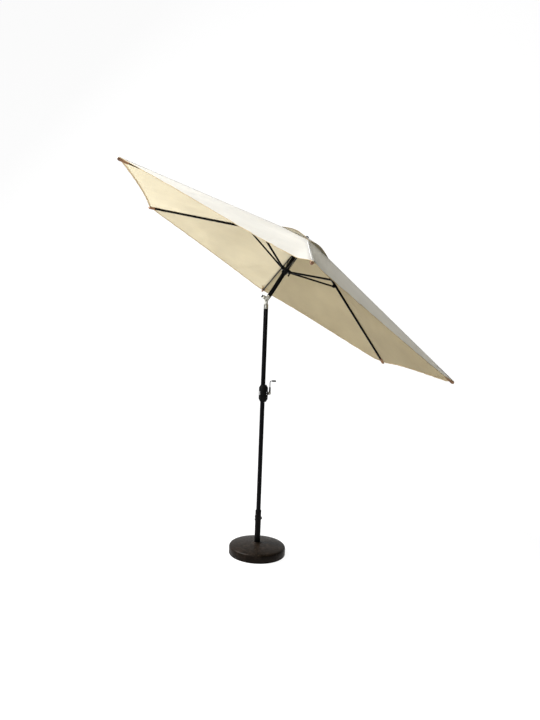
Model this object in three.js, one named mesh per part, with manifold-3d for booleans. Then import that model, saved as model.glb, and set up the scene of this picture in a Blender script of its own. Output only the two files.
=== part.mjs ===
// Patio umbrella in its round base, canopy open and tilted. Millimetres, +Z up.
// The origin is the centre of the base underside. The canopy tilts towards +X.
import * as THREE from "three";
import { mergeVertices } from "three/addons/utils/BufferGeometryUtils.js";
import Module from "manifold-3d";

const wasm = await Module();
wasm.setup();

// ---- driving dimensions ----
const GAP = 0.3; // clearance between pieces that touch in the real object

const BASE_RADIUS = 200;
const BASE_SIDE = 56; // height of the vertical side
const DOME_TOP = 78; // height of the dome where the tube leaves it
const SHELL_WALL = 3;
const PLATE = 3;
const BASE_SIDES = 48; // the same for all the round base pieces, so that their flats match

const TUBE_RADIUS = 21;
const TUBE_WALL = 2;
const TUBE_TOP = 300;
const CLAMP_HEIGHT = 235;

const POLE_RADIUS = 16;
const POLE_WALL = 1.5;
const POLE_FOOT = PLATE + 2 * GAP + 5;

const CRANK_HEIGHT = 1141;
const HOUSING = { width: 64, depth: 58, height: 118, shoulder: 20, offset: 4 };
const POLE_SOCKET = 32; // length of pole inside each end of the crank housing
const SHAFT_RADIUS = 4;
const ARM_LENGTH = 88;
const ARM_PLANE = 49; // where the crank arm stands beside the pole

const PIVOT_HEIGHT = 1795;
const TILT = THREE.MathUtils.degToRad(31);
const UPPER_RADIUS = 15;

const RIB_COUNT = 6;
const RIB_TURN = THREE.MathUtils.degToRad(6); // rib 4 stands 30 degrees plus this from +X
const RIB_HINGE = { r: 30, z: 505 }; // in the tilting head, measured from the tilt pivot
const RIB_TIP = { r: 1348, z: 153 };
const RIB_WIDTH = 8;
const RIB_HEIGHT = 14;
const RIB_WALL = 1.2;
const STRUT_JOINT = { r: 438.5, z: 381 };
const PULLEY = { x: 9, z: 458, groove: 9, rim: 11 };
const RUNNER_PIN = { r: 32, z: 253.5 };
const STRUT_WIDTH = 7;
const STRUT_HEIGHT = 12;
const STRUT_EYE = 4.5; // radius of a strut's two ends round their pins
const RING_WIRE = 1.5;
const JOINT_PLAY = 3; // room round the strut rivet while the runner travels

const CLOTH = 1.6;
const CLOTH_LIFT = 10; // underside of the cloth over the rib centreline
const SCALLOP = 35; // how far a hem is hollowed between two ribs
const HEM_DROOP = 10; // how far the middle of a hem hangs below its two corners
const VENT_OPENING = 48;
const VENT_RADIUS = 220;
const VENT_APEX = 527;
const VENT_EDGE = 466.5;
const VENT_ARCH = 25; // how far the middle of a vent hem stands over its two corners

// ---- materials ----
function finish(color, roughness, metalness) {
  return new THREE.MeshStandardMaterial({ color, roughness, metalness });
}
const blackPaint = finish(0x0d0d0e, 0.35, 0.2);
const bronzePaint = finish(0x2a2320, 0.5, 0.3);
const castSilver = finish(0xb9bab8, 0.35, 0.9);
const steel = finish(0x8d9094, 0.3, 1);
const blackPlastic = finish(0x101011, 0.5, 0);
const brownLeather = finish(0x5a3a22, 0.65, 0);
const concrete = finish(0x8b8881, 0.95, 0);
const cloth = finish(0xe6dfc8, 0.9, 0);
const cordFibre = finish(0xd9d6cc, 0.85, 0);

// ---- solid helpers ----
// A three.js geometry as a manifold-3d solid; triangles without area are dropped first.
function solid(geometry) {
  const plain = new THREE.BufferGeometry();
  const source = geometry.index ? geometry.toNonIndexed() : geometry;
  plain.setAttribute("position", source.getAttribute("position"));
  const merged = mergeVertices(plain, 1e-3);
  const kept = [];
  const index = merged.index.array;
  for (let i = 0; i < index.length; i += 3) {
    const [a, b, c] = index.slice(i, i + 3);
    if (a !== b && b !== c && c !== a) kept.push(a, b, c);
  }
  return new wasm.Manifold(
    new wasm.Mesh({
      numProp: 3,
      vertProperties: merged.attributes.position.array,
      triVerts: new Uint32Array(kept),
    }),
  );
}

function geometryOf(body) {
  const mesh = body.getMesh();
  const geometry = new THREE.BufferGeometry();
  geometry.setAttribute("position", new THREE.BufferAttribute(mesh.vertProperties, 3));
  geometry.setIndex(new THREE.BufferAttribute(mesh.triVerts, 1));
  geometry.computeVertexNormals();
  return geometry;
}

// A closed profile of [radius, height] points turned about Z, outside going up.
function turned(profile, sides = 32) {
  const points = profile.map(([r, z]) => new THREE.Vector2(r, z));
  return new THREE.LatheGeometry(points, sides).rotateX(Math.PI / 2);
}

function tubeProfile(inner, outer, bottom, top) {
  return [[inner, bottom], [outer, bottom], [outer, top], [inner, top], [inner, bottom]];
}

function rodProfile(radius, bottom, top) {
  return [[0, bottom], [radius, bottom], [radius, top], [0, top]];
}

function box(width, depth, height, x = 0, y = 0, z = 0) {
  return solid(new THREE.BoxGeometry(width, depth, height).translate(x, y, z));
}

// A rod about Z from bottom to top.
function rod(radius, bottom, top, sides = 24) {
  return solid(turned(rodProfile(radius, bottom, top), sides));
}

// A rod along X or Y, between two places on that axis, at the given centre.
function rodAlongX(radius, from, to, y = 0, z = 0, sides = 16) {
  const shape = turned(rodProfile(radius, from, to), sides).rotateY(Math.PI / 2);
  return solid(shape.translate(0, y, z));
}

function rodAlongY(radius, from, to, x = 0, z = 0, sides = 14) {
  const shape = turned(rodProfile(radius, from, to), sides).rotateX(-Math.PI / 2);
  return solid(shape.translate(x, 0, z));
}

// A flat outline of [x, z] points, given depth along Y about the middle.
function plateAcrossY(outline, depth) {
  const shape = new THREE.Shape(outline.map(([x, z]) => new THREE.Vector2(x, z)));
  const plate = new THREE.ExtrudeGeometry(shape, { depth, bevelEnabled: false });
  return solid(plate.translate(0, 0, -depth / 2).rotateX(Math.PI / 2));
}

function ring(radius, wire, z, sides = 30) {
  const profile = [];
  for (let i = 0; i <= 6; i++) {
    const angle = (i / 6) * Math.PI * 2;
    profile.push([radius + wire * Math.cos(angle), z + wire * Math.sin(angle)]);
  }
  return turned(profile, sides);
}

// A tube of the given radius that follows points; with no tension it runs straight between them.
function tubeAlong(points, radius, steps, sides, tension = 0.5) {
  const knots = points.map((p) => new THREE.Vector3(...p));
  const path = new THREE.CatmullRomCurve3(knots, false, "catmullrom", tension);
  const section = new THREE.Shape();
  section.absarc(0, 0, radius, 0, Math.PI * 2);
  return new THREE.ExtrudeGeometry(section, {
    steps,
    extrudePath: path,
    curveSegments: sides,
    bevelEnabled: false,
  });
}

// A thin closed sheet over a grid of points; each row runs the same way round.
function sheetSolid(rows, thickness, closedAround) {
  const across = rows[0].length;
  const positions = [];
  for (const lift of [0, thickness]) {
    for (const row of rows) for (const [x, y, z] of row) positions.push(x, y, z + lift);
  }
  const under = (i, j) => i * across + (j % across);
  const over = (i, j) => rows.length * across + under(i, j);
  const faces = [];
  const quad = (a, b, c, d) => faces.push(a, b, c, a, c, d);
  const spans = closedAround ? across : across - 1;
  for (let i = 0; i < rows.length - 1; i++) {
    for (let j = 0; j < spans; j++) {
      quad(over(i, j), over(i + 1, j), over(i + 1, j + 1), over(i, j + 1));
      quad(under(i, j + 1), under(i + 1, j + 1), under(i + 1, j), under(i, j));
    }
  }
  const last = rows.length - 1;
  for (let j = 0; j < spans; j++) {
    quad(under(0, j), over(0, j), over(0, j + 1), under(0, j + 1));
    quad(under(last, j + 1), over(last, j + 1), over(last, j), under(last, j));
  }
  if (!closedAround) {
    for (let i = 0; i < last; i++) {
      quad(under(i + 1, 0), over(i + 1, 0), over(i, 0), under(i, 0));
      quad(under(i, spans), over(i, spans), over(i + 1, spans), under(i + 1, spans));
    }
  }
  const geometry = new THREE.BufferGeometry();
  geometry.setAttribute("position", new THREE.Float32BufferAttribute(positions, 3));
  geometry.setIndex(faces);
  return geometry;
}

function add(parent, name, shape, material) {
  const geometry = shape.isBufferGeometry ? shape : geometryOf(shape);
  const mesh = new THREE.Mesh(geometry, material);
  mesh.name = name;
  parent.add(mesh);
  return mesh;
}

// ---- base ----
function baseShell() {
  const hole = TUBE_RADIUS + GAP;
  const profile = [
    [BASE_RADIUS - SHELL_WALL, 0],
    [BASE_RADIUS, 0],
    [BASE_RADIUS, BASE_SIDE - 6],
    [BASE_RADIUS - 3, BASE_SIDE],
    [BASE_RADIUS - 10, BASE_SIDE + 3],
    [BASE_RADIUS - 80, DOME_TOP - 8],
    [60, DOME_TOP - 2],
    [hole, DOME_TOP],
    [hole, DOME_TOP - SHELL_WALL],
    [60, DOME_TOP - 2 - SHELL_WALL],
    [BASE_RADIUS - 80, DOME_TOP - 8 - SHELL_WALL],
    [BASE_RADIUS - 12, BASE_SIDE + 2 - SHELL_WALL],
    [BASE_RADIUS - SHELL_WALL, BASE_SIDE - 8],
    [BASE_RADIUS - SHELL_WALL, 0],
  ];
  return turned(profile, BASE_SIDES);
}

// The concrete fills the shell over the bottom plate and round the tube foot.
function baseWeight() {
  const edge = BASE_RADIUS - SHELL_WALL - GAP;
  const bottom = PLATE + GAP;
  const top = -SHELL_WALL - 1;
  const profile = [
    [46, bottom],
    [edge, bottom],
    [edge, BASE_SIDE - 9],
    [BASE_RADIUS - 14, BASE_SIDE + 1 + top],
    [BASE_RADIUS - 80, DOME_TOP - 8 + top],
    [60, DOME_TOP - 2 + top],
    [TUBE_RADIUS + GAP, DOME_TOP - 1 + top],
    [TUBE_RADIUS + GAP, PLATE + 6 + GAP],
    [46, PLATE + 6 + GAP],
    [46, bottom],
  ];
  return turned(profile, BASE_SIDES);
}

function basePlate() {
  return turned(rodProfile(BASE_RADIUS - SHELL_WALL - GAP, 0, PLATE), BASE_SIDES);
}

// The tube with the disc it stands on and the nut of its clamp screw, all welded together.
function baseTube() {
  const bottom = PLATE + GAP;
  const tube = solid(turned(tubeProfile(TUBE_RADIUS - TUBE_WALL, TUBE_RADIUS, bottom, TUBE_TOP), 40));
  const foot = rod(45, bottom, bottom + 5, 40);
  const nutShape = turned(rodProfile(11, TUBE_RADIUS - 1, TUBE_RADIUS + 10), 6);
  const nut = solid(nutShape.rotateX(-Math.PI / 2).translate(0, 0, CLAMP_HEIGHT));
  const screwHole = rodAlongY(5.5, TUBE_RADIUS - 6, TUBE_RADIUS + 12, 0, CLAMP_HEIGHT);
  return tube.add(foot).add(nut).subtract(screwHole);
}

// A flanged plastic ring that closes the tube round the pole.
function tubeBushing() {
  const bore = POLE_RADIUS + GAP;
  const profile = [
    [bore, TUBE_TOP - 22],
    [TUBE_RADIUS - TUBE_WALL - GAP, TUBE_TOP - 22],
    [TUBE_RADIUS - TUBE_WALL - GAP, TUBE_TOP + GAP],
    [TUBE_RADIUS + 0.5, TUBE_TOP + GAP],
    [TUBE_RADIUS + 0.5, TUBE_TOP + 3],
    [TUBE_RADIUS - 1.5, TUBE_TOP + 6],
    [bore, TUBE_TOP + 6],
    [bore, TUBE_TOP - 22],
  ];
  return turned(profile, 40);
}

function clampScrew() {
  const shape = turned(rodProfile(5, POLE_RADIUS + GAP, TUBE_RADIUS + 26), 20);
  return shape.rotateX(-Math.PI / 2).translate(0, 0, CLAMP_HEIGHT);
}

// A five-lobed hand knob pressed over the end of the clamp screw.
function clampKnob() {
  const outline = new THREE.Shape();
  const steps = 40;
  for (let i = 0; i < steps; i++) {
    const angle = (i / steps) * Math.PI * 2;
    const radius = 22 + 3.5 * Math.cos(5 * angle);
    const x = radius * Math.cos(angle);
    const y = radius * Math.sin(angle);
    if (i === 0) outline.moveTo(x, y);
    else outline.lineTo(x, y);
  }
  const knob = new THREE.ExtrudeGeometry(outline, {
    depth: 14,
    bevelThickness: 3,
    bevelSize: 3,
    bevelSegments: 2,
  });
  knob.translate(0, 0, TUBE_RADIUS + 17).rotateX(-Math.PI / 2).translate(0, 0, CLAMP_HEIGHT);
  const bore = rodAlongY(5 + GAP, TUBE_RADIUS + 10, TUBE_RADIUS + 26 + GAP, 0, CLAMP_HEIGHT);
  return solid(knob).subtract(bore);
}

// ---- poles and crank ----
function polePipe(radius, bottom, top) {
  return turned(tubeProfile(radius - POLE_WALL, radius, bottom, top), 32);
}

function housingHalf(side) {
  const half = HOUSING.height / 2;
  const wide = HOUSING.width / 2;
  const neck = POLE_RADIUS + 4;
  const outline = [
    [-neck, -half],
    [neck, -half],
    [wide, -half + HOUSING.shoulder],
    [wide, half - HOUSING.shoulder],
    [neck, half],
    [-neck, half],
    [-wide, half - HOUSING.shoulder],
    [-wide, -half + HOUSING.shoulder],
  ];
  const block = plateAcrossY(outline, HOUSING.depth).translate([HOUSING.offset, 0, CRANK_HEIGHT]);
  const corner = new THREE.Shape();
  const deep = HOUSING.depth / 2;
  const cut = 13;
  const points = [
    [-wide, -deep + cut],
    [-wide + cut, -deep],
    [wide - cut, -deep],
    [wide, -deep + cut],
    [wide, deep - cut],
    [wide - cut, deep],
    [-wide + cut, deep],
    [-wide, deep - cut],
  ];
  points.forEach(([x, y], i) => (i ? corner.lineTo(x, y) : corner.moveTo(x, y)));
  const column = solid(
    new THREE.ExtrudeGeometry(corner, { depth: HOUSING.height + 2, bevelEnabled: false }).translate(
      HOUSING.offset,
      0,
      CRANK_HEIGHT - half - 1,
    ),
  );
  const bore = rod(POLE_RADIUS + GAP, CRANK_HEIGHT - half - 1, CRANK_HEIGHT + half + 1, 40);
  const spoolRoom = rodAlongX(26, -24, 30, 0, CRANK_HEIGHT, 32);
  const shaftHole = rodAlongX(SHAFT_RADIUS + GAP, -40, 60, 0, CRANK_HEIGHT);
  const bossSeat = rodAlongX(12 + GAP, 33, 60, 0, CRANK_HEIGHT, 28);
  let body = block.intersect(column);
  for (const cutter of [bore, spoolRoom, shaftHole, bossSeat]) body = body.subtract(cutter);
  for (const z of screwHeights()) {
    body = body.subtract(rodAlongY(2.3, -HOUSING.depth, 12, screwX(), z, 12));
    body = body.subtract(rodAlongY(4.5, HOUSING.depth / 2 - 5, HOUSING.depth, screwX(), z, 16));
    body = body.subtract(rodAlongY(2.3, 11, HOUSING.depth, screwX(), z, 12));
  }
  const keep = box(200, 100, 200, 0, side * (50 + GAP / 2), CRANK_HEIGHT);
  return body.intersect(keep);
}

// Two screws hold the housing halves together, on the side away from the crank arm.
function screwX() {
  return -23;
}

function screwHeights() {
  return [CRANK_HEIGHT - 33, CRANK_HEIGHT + 33];
}

function housingScrew(z) {
  const shank = rodAlongY(2, -18, HOUSING.depth / 2 - 5 + GAP, screwX(), z, 12);
  const head = rodAlongY(4, HOUSING.depth / 2 - 5 + GAP, HOUSING.depth / 2 - 2, screwX(), z, 16);
  return shank.add(head);
}

function crankShaft() {
  return turned(rodProfile(SHAFT_RADIUS, -22, ARM_PLANE + 3), 20)
    .rotateY(Math.PI / 2)
    .translate(0, 0, CRANK_HEIGHT);
}

// A flanged spool; the lift cord leaves its drum on the side where x is below 0.
function cordSpool() {
  const bore = SHAFT_RADIUS + GAP;
  const profile = [
    [bore, -20],
    [22, -20],
    [22, -17],
    [10, -17],
    [10, 13],
    [22, 13],
    [22, 16],
    [bore, 16],
    [bore, -20],
  ];
  return turned(profile, 28).rotateY(Math.PI / 2).translate(0, 0, CRANK_HEIGHT);
}

// The coil that holds the shaft when the crank is let go.
function brakeSpring() {
  const points = [];
  for (let i = 0; i <= 24; i++) {
    const angle = (i / 8) * Math.PI * 2;
    const reach = SHAFT_RADIUS + 2;
    points.push([19 + i * 0.4, reach * Math.cos(angle), reach * Math.sin(angle)]);
  }
  return tubeAlong(points, 1.1, 32, 2).translate(0, 0, CRANK_HEIGHT);
}

// The round bearing in the side of the housing that carries the shaft.
function crankBearing() {
  const profile = tubeProfile(SHAFT_RADIUS + GAP, 12, 33 + GAP, 41);
  return turned(profile, 28).rotateY(Math.PI / 2).translate(0, 0, CRANK_HEIGHT);
}

// The bright hub, its black sleeve and the bent rod, in one piece with the shaft's square.
function crankArm() {
  const hub = rodAlongX(11, 42, ARM_PLANE + 8, 0, CRANK_HEIGHT, 24);
  const sleeve = rod(6, 8, 44, 16).translate([ARM_PLANE, 0, CRANK_HEIGHT]);
  const bend = ARM_LENGTH - 8;
  const path = [
    [ARM_PLANE, 0, 30],
    [ARM_PLANE, 0, 55],
    [ARM_PLANE, 0, bend],
    [ARM_PLANE + 2.4, 0, bend + 5.6],
    [ARM_PLANE + 8, 0, ARM_LENGTH],
    [ARM_PLANE + 20, 0, ARM_LENGTH],
    [ARM_PLANE + 40, 0, ARM_LENGTH],
  ];
  const bar = solid(tubeAlong(path, 3.2, 16, 4)).translate([0, 0, CRANK_HEIGHT]);
  const bore = rodAlongX(SHAFT_RADIUS + GAP, 40, ARM_PLANE + 3 + GAP, 0, CRANK_HEIGHT);
  return hub.add(sleeve).add(bar).subtract(bore);
}

function crankGrip() {
  const profile = [
    [3.6, 14],
    [5.5, 14],
    [6.5, 18],
    [6.5, 36],
    [5.5, 41.5],
    [0, 41.5],
    [0, 40.4],
    [3.6, 40.4],
    [3.6, 14],
  ];
  return turned(profile, 20)
    .rotateY(Math.PI / 2)
    .translate(ARM_PLANE, 0, CRANK_HEIGHT + ARM_LENGTH);
}

// ---- tilt joint ----
// The fork plugs into the middle pole and holds the pivot pin between its two ears.
function tiltFork() {
  const inner = POLE_RADIUS - POLE_WALL - GAP;
  const plug = rod(inner, -95, -56, 32);
  const collar = rod(POLE_RADIUS, -58.5, -26, 32);
  const outline = [[-13, -30], [13, -30], [13, 0]];
  for (let i = 1; i < 10; i++) {
    const angle = (i / 10) * Math.PI;
    outline.push([13 * Math.cos(angle), 13 * Math.sin(angle)]);
  }
  outline.push([-13, 0]);
  let fork = plug.add(collar);
  for (const side of [-1, 1]) {
    fork = fork.add(plateAcrossY(outline, 4).translate([0, side * 12.5, 0]));
  }
  fork = fork.subtract(rodAlongY(3 + GAP, -20, 20));
  return fork.subtract(rod(4.5, -96, -20, 16).translate([-4.5, 0, 0]));
}

// The knuckle turns between the ears, plugs into the upper pole and carries the button box.
function tiltKnuckle() {
  const outline = [];
  for (let i = 0; i <= 10; i++) {
    const angle = Math.PI + (i / 10) * Math.PI;
    outline.push([12.5 * Math.cos(angle), 12.5 * Math.sin(angle)]);
  }
  outline.push([12.5, 26], [-12.5, 26]);
  const tongue = plateAcrossY(outline, 20);
  const collar = rod(UPPER_RADIUS, 20, 40, 32);
  const plug = rod(UPPER_RADIUS - POLE_WALL - GAP, 38, 78, 32);
  const arm = box(22, 15, 25, -24, 0, 11.5);
  const room = box(16, 9, 17, -28, 0, 11.5);
  const knuckle = tongue.add(collar).add(plug).add(arm).subtract(room);
  const cordSlot = box(25.5, 6.4, 40, 0, 0, 0);
  const cordWay = rod(3, -20, 80, 12).translate([-6.4, 0, 0]);
  return knuckle.subtract(rodAlongY(3 + GAP, -20, 20)).subtract(cordSlot).subtract(cordWay);
}

function tiltPin() {
  return turned(rodProfile(3, -17.5, 17.5), 20).rotateX(Math.PI / 2);
}

// The button slides into its box along -X of the head, against a small spring.
function tiltButton() {
  const face = box(5, 12, 21, -42, 0, 11.5);
  const stem = box(9, 8, 16, -35.5, 0, 11.5);
  return face.add(stem);
}

function buttonSpring() {
  const points = [];
  for (let i = 0; i <= 24; i++) {
    const angle = (i / 8) * Math.PI * 2;
    points.push([-30.2 + i * 0.38, 2.8 * Math.cos(angle), 11.5 + 2.8 * Math.sin(angle)]);
  }
  return tubeAlong(points, 0.5, 32, 2);
}

// ---- crown ----
function hubBody(radius, centre, half, boreRadius, ringRadius) {
  let hub = solid(turned(tubeProfile(boreRadius, radius, centre - half, centre + half), 36));
  const groove = tubeProfile(ringRadius - 2, ringRadius + 2, centre - 2, centre + half + 1);
  hub = hub.subtract(solid(turned(groove, 36)));
  for (const azimuth of azimuths()) {
    const slotCut = box(60, 6, half * 2 + 2, 23.5 + 30, 0, centre);
    hub = hub.subtract(slotCut.rotate([0, 0, THREE.MathUtils.radToDeg(azimuth)]));
  }
  return hub;
}

function crownHub() {
  const hub = hubBody(38, RIB_HINGE.z, 11, 4.3, RIB_HINGE.r);
  const spigot = solid(
    turned(tubeProfile(4.3, UPPER_RADIUS - POLE_WALL - GAP, RIB_HINGE.z - 24, RIB_HINGE.z - 10), 32),
  );
  return hub.add(spigot);
}

// The pulley turns on a pin across the upper pole and stands out through a slot in its wall.

function upperPole() {
  const pipe = solid(polePipe(UPPER_RADIUS, 40 + GAP, RIB_HINGE.z - 11 - GAP));
  const slotCut = box(20, 8, 2 * PULLEY.rim + 8, 16, 0, PULLEY.z);
  const pinHole = rodAlongY(2 + GAP, -20, 20, PULLEY.x, PULLEY.z, 12);
  return pipe.subtract(slotCut).subtract(pinHole);
}

function pulley() {
  const profile = [
    [2.3, -3],
    [PULLEY.rim, -3],
    [PULLEY.groove, 0],
    [PULLEY.rim, 3],
    [2.3, 3],
    [2.3, -3],
  ];
  return turned(profile, 28).rotateX(Math.PI / 2).translate(PULLEY.x, 0, PULLEY.z);
}

function pulleyPin() {
  return turned(rodProfile(2, -14, 14), 12).rotateX(Math.PI / 2).translate(PULLEY.x, 0, PULLEY.z);
}

function finial() {
  const seat = VENT_APEX + CLOTH + 2 * GAP;
  const profile = [
    [0, RIB_HINGE.z - 8],
    [4, RIB_HINGE.z - 8],
    [4, seat],
    [12, seat],
    [12, seat + 1.5],
    [10, seat + 3.5],
    [5, seat + 5],
    [0, seat + 5.5],
  ];
  return turned(profile, 28);
}

// ---- runner ----
function runner() {
  const hub = hubBody(39, RUNNER_PIN.z, 11, UPPER_RADIUS + 0.7, RUNNER_PIN.r);
  const sleeve = solid(
    turned(tubeProfile(UPPER_RADIUS + 0.7, 20.5, RUNNER_PIN.z - 28, RUNNER_PIN.z - 10), 36),
  );
  const lug = box(9, 6, 26, 36, 0, RUNNER_PIN.z - 15).rotate([0, 0, 6]);
  const cordHole = rod(2, RUNNER_PIN.z - 40, RUNNER_PIN.z + 20, 12).translate([18, 0, 0]);
  return hub.add(sleeve).add(lug).subtract(cordHole);
}

// ---- ribs, struts and cloth ----
function azimuths() {
  const list = [];
  for (let i = 0; i < RIB_COUNT; i++) {
    list.push(RIB_TURN + THREE.MathUtils.degToRad(210 - 60 * i));
  }
  return list;
}

// Height of the rib centreline at radius r, in the head.
function ribLine(r) {
  const share = (r - RIB_HINGE.r) / (RIB_TIP.r - RIB_HINGE.r);
  return RIB_HINGE.z + share * (RIB_TIP.z - RIB_HINGE.z);
}

// A bar outline that follows the rib centreline between two radii.
function barOutline(from, to, half, steps) {
  const top = [];
  const bottom = [];
  for (let i = 0; i <= steps; i++) {
    const r = from + ((to - from) * i) / steps;
    top.push([r, ribLine(r) + half]);
    bottom.push([r, ribLine(r) - half]);
  }
  return bottom.concat(top.reverse());
}

function rib() {
  const bar = plateAcrossY(barOutline(46, RIB_TIP.r - 12, RIB_HEIGHT / 2, 6), RIB_WIDTH);
  const tongue = plateAcrossY(barOutline(RIB_HINGE.r, 50, 4.5, 1), 5);
  const eye = rodAlongY(4.5, -2.5, 2.5, RIB_HINGE.r, RIB_HINGE.z, 12);
  const { r, z } = STRUT_JOINT;
  const cheek = [[r - 11, z - 4], [r - 6, z - 9], [r + 6, z - 9], [r + 11, z - 4]];
  cheek.push([r + 13, ribLine(r + 13)], [r - 13, ribLine(r - 13)]);
  let body = bar.add(tongue).add(eye);
  for (const side of [-1, 1]) {
    body = body.add(plateAcrossY(cheek, 2).translate([0, side * (RIB_WIDTH / 2 + 0.9), 0]));
  }
  const hinge = rodAlongY(2, -6, 6, RIB_HINGE.r, RIB_HINGE.z, 12);
  const hollow = barOutline(70, RIB_TIP.r, RIB_HEIGHT / 2 - RIB_WALL, 6);
  body = body.subtract(plateAcrossY(hollow, RIB_WIDTH - 2 * RIB_WALL));
  return body.subtract(hinge).subtract(rodAlongY(2.5 + JOINT_PLAY, -12, 12, r, z, 14));
}

function ribCap() {
  const outline = barOutline(RIB_TIP.r - 30, RIB_TIP.r, RIB_HEIGHT / 2 + 1.5, 2);
  const room = barOutline(RIB_TIP.r - 31, RIB_TIP.r - 11.5, RIB_HEIGHT / 2 + GAP, 2);
  return plateAcrossY(outline, RIB_WIDTH + 4).subtract(plateAcrossY(room, RIB_WIDTH + 2 * GAP));
}

function strut() {
  const run = STRUT_JOINT.r - RUNNER_PIN.r;
  const rise = STRUT_JOINT.z - RUNNER_PIN.z;
  const length = Math.hypot(run, rise);
  const bar = box(length - 14, STRUT_WIDTH, STRUT_HEIGHT, (length + 14) / 2, 0, 0);
  const tongue = box(22, 5, 9, 11, 0, 0);
  const eye = rodAlongY(STRUT_EYE, -2.5, 2.5);
  const farEnd = rodAlongY(STRUT_EYE, -STRUT_WIDTH / 2, STRUT_WIDTH / 2, length, 0);
  const rivet = rodAlongY(2.5, -7, 7, length, 0, 10);
  let body = bar.add(tongue).add(eye).add(farEnd).add(rivet);
  for (const side of [-1, 1]) {
    const head = rodAlongY(6.2, -0.8, 0.8, length, 0, 14).translate([0, side * 6.9, 0]);
    body = body.add(head);
  }
  body = body.subtract(rodAlongY(2, -6, 6, 0, 0, 12));
  const angle = THREE.MathUtils.radToDeg(Math.atan2(rise, run));
  return body.rotate([0, -angle, 0]).translate([RUNNER_PIN.r, 0, RUNNER_PIN.z]);
}

// The cloth of the two half panels beside one rib, from the vent opening to the hem.
// Each panel is a flat strip, so its height depends only on the distance along the panel's own
// middle line, but for the droop of its hem.
function canopySection() {
  const halfAngle = Math.PI / RIB_COUNT;
  const tipAlong = RIB_TIP.r * Math.cos(halfAngle);
  const tipAcross = RIB_TIP.r * Math.sin(halfAngle);
  const rowsOut = 6;
  const halfSpans = 4;
  const rows = [];
  for (let i = 0; i <= rowsOut; i++) {
    const out = i / rowsOut;
    const row = [];
    for (let j = -halfSpans; j <= halfSpans; j++) {
      const nearRib = 1 - Math.abs(j) / halfSpans;
      const hemAlong = tipAlong - SCALLOP * (1 - nearRib * nearRib);
      const startAlong = VENT_OPENING * Math.cos(halfAngle);
      const startAcross = VENT_OPENING * Math.sin(halfAngle) * nearRib;
      const along = startAlong + (hemAlong - startAlong) * out;
      const across = startAcross + (tipAcross * nearRib - startAcross) * out;
      const droop = HEM_DROOP * (1 - nearRib * nearRib) * out * out;
      const height = ribLine(along / Math.cos(halfAngle)) + CLOTH_LIFT - droop;
      const side = Math.sign(j) || 1;
      const inset = j === -halfSpans || j === halfSpans ? GAP / 2 : 0;
      const offset = across + inset;
      const x = along * Math.cos(halfAngle) + offset * Math.sin(halfAngle);
      const y = side * (along * Math.sin(halfAngle) - offset * Math.cos(halfAngle));
      row.push([x, j === 0 ? 0 : y, height]);
    }
    rows.push(row);
  }
  return sheetSolid(rows, CLOTH, false);
}

// The small top canopy over the vent: held down on the ribs, with its hem arched between them.
function ventCap() {
  const rows = [];
  for (const [radius, height] of [[5.6, VENT_APEX], [80, 510], [VENT_RADIUS, VENT_EDGE]]) {
    const out = radius / VENT_RADIUS;
    const row = [];
    for (let i = 0; i < RIB_COUNT * 4; i++) {
      const step = i % 4;
      const corner = Math.floor(i / 4);
      const angles = [corner, corner + 1].map((k) => RIB_TURN + Math.PI / 6 + (k * Math.PI) / 3);
      const [a, b] = angles.map((angle) => [radius * Math.cos(angle), radius * Math.sin(angle)]);
      row.push([
        a[0] + ((b[0] - a[0]) * step) / 4,
        a[1] + ((b[1] - a[1]) * step) / 4,
        height + VENT_ARCH * out * out * Math.sin((Math.PI * step) / 4),
      ]);
    }
    rows.push(row);
  }
  return sheetSolid(rows, CLOTH, true);
}

// ---- assembly ----
const umbrella = new THREE.Group();

const base = new THREE.Group();
add(base, "base_shell", baseShell(), bronzePaint);
add(base, "base_weight", baseWeight(), concrete);
add(base, "base_plate", basePlate(), blackPlastic);
add(base, "base_tube", baseTube(), bronzePaint);
add(base, "tube_bushing", tubeBushing(), blackPlastic);
add(base, "clamp_screw", clampScrew(), steel);
add(base, "clamp_knob", clampKnob(), blackPlastic);
umbrella.add(base);

const pole = new THREE.Group();
const housingBottom = CRANK_HEIGHT - HOUSING.height / 2;
const housingTop = CRANK_HEIGHT + HOUSING.height / 2;
const forkSeat = PIVOT_HEIGHT - 58.5 - GAP;
add(pole, "lower_pole", polePipe(POLE_RADIUS, POLE_FOOT + GAP, housingBottom + POLE_SOCKET), blackPaint);
add(pole, "middle_pole", polePipe(POLE_RADIUS, housingTop - POLE_SOCKET, forkSeat), blackPaint);
add(pole, "crank_housing_front", housingHalf(-1), blackPlastic);
add(pole, "crank_housing_rear", housingHalf(1), blackPlastic);
screwHeights().forEach((z, i) => add(pole, "housing_screw_" + (i + 1), housingScrew(z), steel));
add(pole, "crank_bearing", crankBearing(), steel);
add(pole, "brake_spring", brakeSpring(), steel);
add(pole, "crank_shaft", crankShaft(), steel);
add(pole, "cord_spool", cordSpool(), blackPlastic);
add(pole, "crank_arm", crankArm(), castSilver);
add(pole, "crank_grip", crankGrip(), blackPlastic);
const drum = 10 + 1.2 + GAP;
const cordPath = [
  [0, -drum, CRANK_HEIGHT],
  [-5, 0, PIVOT_HEIGHT - 60],
  [-5, 0, PIVOT_HEIGHT - 2],
];
add(pole, "lift_cord_lower", tubeAlong(cordPath, 1.2, 8, 3, 0), cordFibre);
umbrella.add(pole);

const joint = new THREE.Group();
joint.position.set(0, 0, PIVOT_HEIGHT);
add(joint, "tilt_fork", tiltFork(), castSilver);
add(joint, "tilt_pin", tiltPin(), steel);
umbrella.add(joint);

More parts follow.
